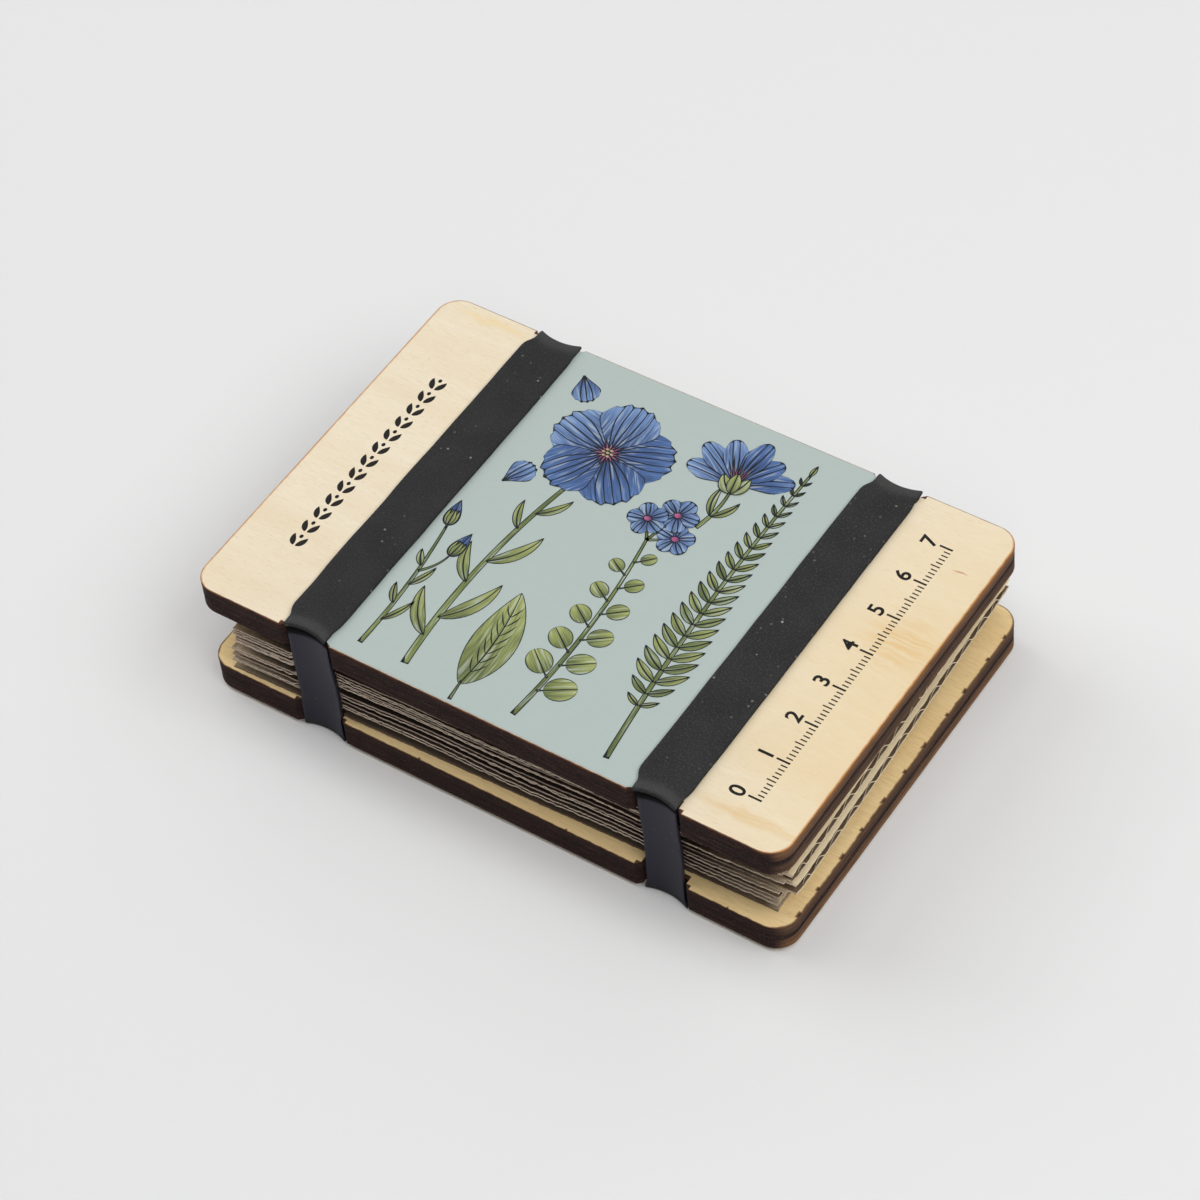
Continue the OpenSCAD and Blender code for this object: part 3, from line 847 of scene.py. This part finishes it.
def settled(x, y):
    """The undersides of all leaves at a place, crushed or come apart along the sides by the pressing."""
    side, end = smooth(side_from, side_to, abs(y)), smooth(end_from, end_to, abs(x))
    if not side and not end:
        return leaf_low
    gaps = []
    for k, gap in enumerate(rest_gaps):
        wave = noise.noise(Vector((x / (24 * mm), y / (24 * mm), k * 4.1)))
        if gap > mm:
            left = side_share[k // per_card] * (1 + 0.3 * wave)
            gaps.append(gap * (1 + (left - 1) * side + 0.12 * wave * end))
        else:
            loose = (sheet_gap if k % per_card == 2 else liner_gap)[k // per_card]
            gaps.append(gap + loose * (1 + 0.7 * wave) * side)
    scale = sum(rest_gaps) / sum(gaps)
    heights = [leaf_low[0]]
    for k, gap in enumerate(gaps):
        heights.append(heights[-1] + leaf_high[k] - leaf_low[k] + gap * scale)
    return heights


def held_in(x, y):
    """Keeps a paper's side inside the board, and between the bands and the board where a band passes."""
    free, off = board_w / 2 - edge_clear, abs(abs(x) - notch_x)
    behind = notch_centre - sqrt(notch_r_out ** 2 - min(off, arch_half) ** 2) - band_thick - 0.15 * mm
    reach = behind + (free - behind) * smooth(arch_half - 0.4 * mm, arch_half + mm, off)
    return max(-reach, min(reach, y))


def sheet_grain(name, pale, dark, edge, end, face_at_end, gap_shade, coarse, seed):
    """Recycled paper: short fibres, painted shade along its sides for the dark gaps between the papers, and a
    paler edge. Returns face and edge.
    """
    both = []
    for part, squeeze in (("face", 1), ("edge", 3)):
        made = shader(name + "_" + part)
        place = place_of(made)
        lie = laid(made, place, (seed, seed, seed), (1, 1, squeeze))
        fibre = cloudy(made, lie, coarse, 5.0, Roughness=0.65)
        shade = ramp(made, fibre, 0.32, 0.68)
        spot = add(made, "SeparateXYZ", {0: place})
        cut = ramp(made, spot.outputs["Y"], -41 * mm, -40 * mm)
        at_end = sums(made, "MULTIPLY", ramp(made, spot.outputs["X"], 59.5 * mm, 62 * mm), cut)
        # the right ends are pale, partly the paper's own colour and partly painted light from the right
        lit = mix(made, at_end, edge, end)
        if part == "face":
            # at the open right end a face takes face_at_end: pale for upper liners and sheets, and dark
            # painted shade inside the flute cells for lower liners and the wavy paper
            opening = sums(made, "MULTIPLY", ramp(made, spot.outputs["X"], 61.5 * mm, 63.5 * mm), cut)
            tone = mix(made, sums(made, "MULTIPLY", opening, 0.85), mix(made, shade, pale, dark), face_at_end)
            inset = told(made, "inset")
            # painted shade: near black over the outer 3.5 mm of a face, fading by 6.4 mm in and towards both
            # ends
            middle = sums(made, "MULTIPLY", ramp(made, spot.outputs["X"], -60 * mm, -44 * mm),
                          ramp(made, spot.outputs["X"], 64 * mm, 46 * mm))
            gap_shade_share = sums(made, "MULTIPLY", ramp(made, inset, 3.5 * mm, 6.4 * mm, 0.95, 0.0), middle)
            tone = mix(made, gap_shade_share, tone, gap_shade)
            tone = mix(made, ramp(made, inset, 0.02 * mm, 0.12 * mm, 0.8, 0.0), tone, lit)
        else:
            layer = cloudy(made, laid(made, place, (seed, 0, seed), (40, 8, 1500)), 1.0, 1.0)
            dull = sums(made, "MAXIMUM", ramp(made, layer, 0.42, 0.62, 0.0, 0.25),
                        ramp(made, cloudy(made, place, 2400.0, 1.0), 0.58, 0.68, 0.0, 0.7))
            duller = sums(made, "MULTIPLY", dull, ramp(made, at_end, 0.0, 1.0, 1.0, 0.25))
            tone = mix(made, sums(made, "MULTIPLY", shade, 0.35), lit, dark)
            tone = mix(made, duller, tone, colour(60, 44, 38))
        both.append(dress(made, 0.9, 0.15, tone, fibre, 0.5, 0.05 * mm))
    return both


def outline_of(node):
    """The lower outline of a leaf's CAD solid as one face, its edges in short steps, with rings inside."""
    bm = solid_of(node)
    floor_face = min(bm.faces, key=lambda f: f.normal.z * f.calc_area())
    bmesh.ops.delete(bm, geom=[f for f in bm.faces if f != floor_face], context="FACES")
    for e in list(bm.edges):
        cuts = int(e.calc_length() / edge_step)
        if cuts:
            bmesh.ops.subdivide_edges(bm, edges=[e], cuts=cuts, use_grid_fill=False)
    inset = bm.verts.layers.float.new("inset")
    low = Vector([min(v.co[k] for v in bm.verts) for k in range(3)])
    high = Vector([max(v.co[k] for v in bm.verts) for k in range(3)])
    for reach, before in zip(ring_insets, (0, *ring_insets)):
        bmesh.ops.inset_individual(bm, faces=[max(bm.faces, key=lambda f: f.calc_area())], thickness=0)
        for v in max(bm.faces, key=lambda f: f.calc_area()).verts:
            v[inset] = reach
            for k in (0, 1):
                half, middle = (high[k] - low[k]) / 2, (high[k] + low[k]) / 2
                v.co[k] -= (reach - before) * (v.co[k] - middle) / (half - before)
    return bm, inset


def fray(bm, inset, amount, size, seed):
    """Roughens the outer rings of a leaf, in its own plane and up and down."""
    for v in bm.verts:
        fade = 1 - smooth(0, ring_insets[2], v[inset])
        if fade:
            at = Vector((v.co.x / size, v.co.y / size, seed))
            fine = Vector((v.co.x / size * 4, v.co.y / size * 4, seed + 9))
            move = noise.noise_vector(at) + 0.5 * noise.noise_vector(fine)
            v.co.x += move.x * amount * fade
            v.co.y += move.y * amount * fade
            v.co.z += (move.z + noise.noise(at * 3)) * lump * fade
            v.co.y = held_in(v.co.x, v.co.y)
            v.co.x = max(-board_l / 2 + edge_clear, min(board_l / 2 - edge_clear, v.co.x))


def crumple(bm, left, right, seed):
    """Pushes the left end of a leaf inwards, unevenly, and lets its right end out."""
    low, high = min(v.co.x for v in bm.verts), max(v.co.x for v in bm.verts)
    for v in bm.verts:
        at_left, at_right = (1 - smooth(0, 6 * mm, away) for away in (v.co.x - low, high - v.co.x))
        v.co.x += left * at_left * (1 + 0.35 * noise.noise(Vector((v.co.y / (6 * mm), seed, 0))))
        v.co.x = min(v.co.x + right * at_right, board_l / 2 - edge_clear)


def leaf(node, body, slot, skins, fuzz, fuzz_size, left, right, seed):
    """One flat paper: its CAD outline, frayed, crumpled and settled among its neighbours."""
    bm, inset = outline_of(node)
    k = leaves.index(node)
    fray(bm, inset, fuzz, fuzz_size, seed)
    crumple(bm, left, right, seed)
    for v in bm.verts:
        v.co.z += settled(v.co.x, v.co.y)[k] - leaf_low[k]
    thicken(bm, bm.faces[:], leaf_high[k] - leaf_low[k])
    bmesh.ops.recalc_face_normals(bm, faces=bm.faces)
    for f in bm.faces:
        f.material_index = int(abs(f.normal.z) < 0.6)
    shaped(bm, "paper_" + node, body, slot, skins, node)


# gap_shade_colour is the painted shade of the gaps between the papers
gap_shade_colour, pale_and_lit_end = colour(40, 29, 25), colour(244, 226, 190)
liner_pale, liner_dark, torn = colour(176, 160, 138), colour(146, 128, 106), colour(216, 196, 180)
# lower liners: painted shade inside the flute cells at the open end
kraft = sheet_grain("kraft_liner", liner_pale, liner_dark, torn, pale_and_lit_end, colour(104, 84, 66), gap_shade_colour,
                    900.0, 2.2)
kraft_up = sheet_grain("kraft_upper", liner_pale, liner_dark, torn, pale_and_lit_end, pale_and_lit_end, gap_shade_colour, 900.0, 3.2)
# the lowest liner: its torn edge is painted dark, as shade low on the board
kraft_low = sheet_grain("kraft_lowest", liner_pale, liner_dark, colour(122, 106, 92), colour(230, 212, 178),
                        colour(200, 180, 150), colour(108, 92, 78), 900.0, 4.2)
# wavy paper: painted shade inside the flute cells at the open end
wavy = sheet_grain("kraft_wave", colour(158, 138, 112), colour(122, 102, 80), colour(180, 158, 138),
                   pale_and_lit_end, colour(92, 74, 58), gap_shade_colour, 900.0, 5.9)

for i in range(1, card_count + 1):
    body = f"card_{i}"
    left, right = left_pull[i - 1], right_push[i - 1]
    low_liner, flutes, high_liner = (f"card_{i}_{part}" for part in ("lower_liner", "flutes", "upper_liner"))
    for node, skins, seed in ((low_liner, kraft if i > 1 else kraft_low, i * 11.0),
                              (high_liner, kraft_up, i * 11.0 + 3.7)):
        leaf(node, body, "kraft_liner", skins, 0.1 * mm, 1.4 * mm, left, right, seed)

    plan = [v.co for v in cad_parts[flutes].data.vertices]
    corners = [max(plan, key=lambda p: p.x * sx + p.y * sy)
               for sx, sy in ((1, 1), (-1, 1), (-1, -1), (1, -1))]
    centre = sum(corners, Vector()) / 4
    run = (corners[0] + corners[3] - corners[1] - corners[2]) / 2
    rise = (corners[0] + corners[1] - corners[2] - corners[3]) / 2
    run.z = rise.z = 0
    steps = round(rise.length / flute_pitch) * wave_detail
    under, over = leaves.index(low_liner), leaves.index(high_liner)
    bm = bmesh.new()
    bmesh.ops.create_grid(bm, x_segments=steps, y_segments=run_detail, size=0.5)
    inset = bm.verts.layers.float.new("inset")
    for v in bm.verts:
        k, u = round((v.co.x + 0.5) * steps), 0.5 * sin(pi * v.co.y)
        s = k / steps - 0.5
        spot = centre + run * u + rise * s
        side = rise.length * (0.5 - abs(s))
        edge = min(run.length * (0.5 - abs(u)), side)
        v[inset] = max(edge, 0.5 * mm)
        if side < medium_reach:
            tear = medium_recess[i - 1] * (1 + 0.8 * noise.noise(Vector((spot.x / (4 * mm), i * 5.0, s))))
            spot -= rise.normalized() * (1 if s > 0 else -1) * tear * (1 - side / medium_reach)
        wave = 0.5 + 0.5 * min(1, max(-1, flat_crest * sin(2 * pi * k / wave_detail)))
        bent = noise.noise(Vector((spot.x / (5 * mm), spot.y / (3 * mm), i * 2.0)))
        wave = min(1, max(0, wave + 0.1 * (bent * (1 - smooth(0, 3 * mm, edge)))))
        spot.y = held_in(spot.x, spot.y)
        heights = settled(spot.x, spot.y)
        floor_z = heights[under] + leaf_high[under] - leaf_low[under] + medium_thick / 2
        v.co = (spot.x, spot.y, floor_z + (heights[over] - medium_thick / 2 - floor_z) * wave)
    crumple(bm, left, right, i * 3.3)
    bmesh.ops.solidify(bm, geom=bm.faces[:], thickness=medium_thick)
    bmesh.ops.recalc_face_normals(bm, faces=bm.faces)
    bm.normal_update()
    for f in bm.faces:
        f.material_index = int(abs(f.normal.dot(run.normalized())) > 0.7)
    shaped(bm, "paper_" + flutes, body, "kraft_medium", wavy, flutes)


# Blotting sheets: soft grey-brown paper torn to size, two between one card and the next.
# Their feathered edges stand out a little past the cards.
blotter = sheet_grain("blotting_paper", colour(186, 170, 148), colour(152, 134, 112), colour(222, 204, 186),
                      pale_and_lit_end, pale_and_lit_end, gap_shade_colour, 1300.0, 7.1)
sheet_count = sum(name.startswith("blotting_sheet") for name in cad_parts)
for j in range(1, sheet_count + 1):
    leaf(f"blotting_sheet_{j}", f"sheet_{j}", "blotting_paper", blotter, 0.2 * mm, 1.1 * mm,
         left_pull[(j + 1) // 2] - 0.1 * mm, 0.5 * mm, j * 17.0)
